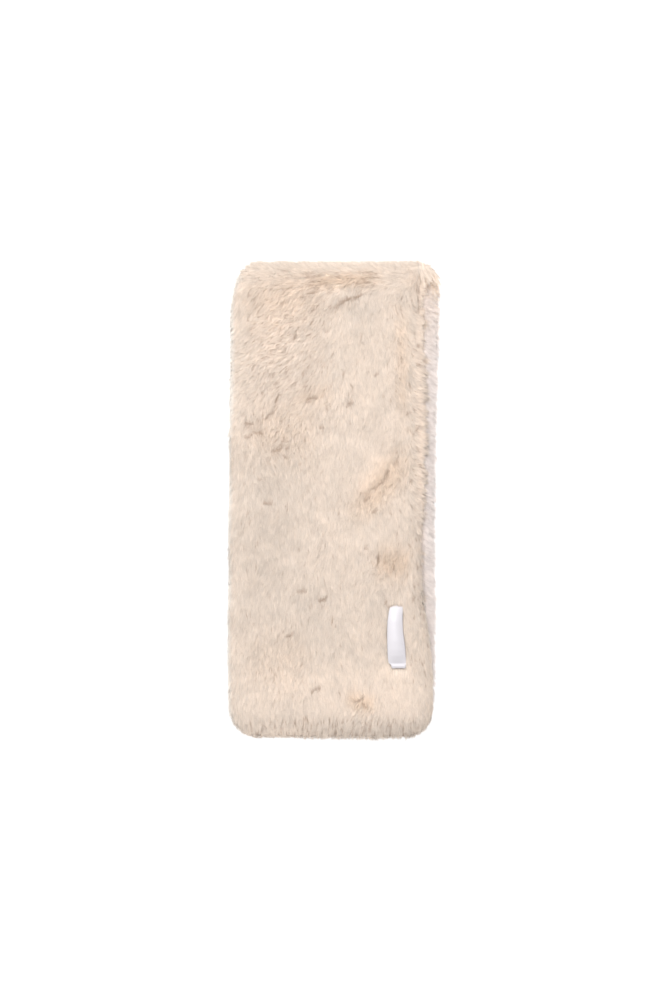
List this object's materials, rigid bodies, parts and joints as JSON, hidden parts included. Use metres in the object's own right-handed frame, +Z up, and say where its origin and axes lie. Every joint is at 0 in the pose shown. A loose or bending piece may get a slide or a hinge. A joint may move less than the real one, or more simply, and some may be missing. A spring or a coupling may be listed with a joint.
{
  "type": "fur collar wrap",
  "caption": "Straight plush faux-fur collar wrap, furred on both faces, folded once in half and laid flat, with a blank woven label.",
  "frame": {"origin": "on the surface the folded wrap lies on, under the middle of its outline", "axes": "+Z up from that surface, +Y along the wrap from its free ends to its fold, +X across it, to the side on which the lower half shows"},
  "size_m": [0.2095, 0.4758, 0.0339],
  "materials": {
    "outer_fur": "soft pale beige plush faux fur, matt, with a slight sheen along the nap",
    "inner_fur": "the same plush faux fur, a little cooler in the shade of the upper half",
    "label_satin": "white woven satin ribbon, blank"
  },
  "bodies": {
    "root": {"outer_panel": "outer_fur", "inner_panel": "inner_fur", "label": "label_satin"}
  },
  "joints": []
}
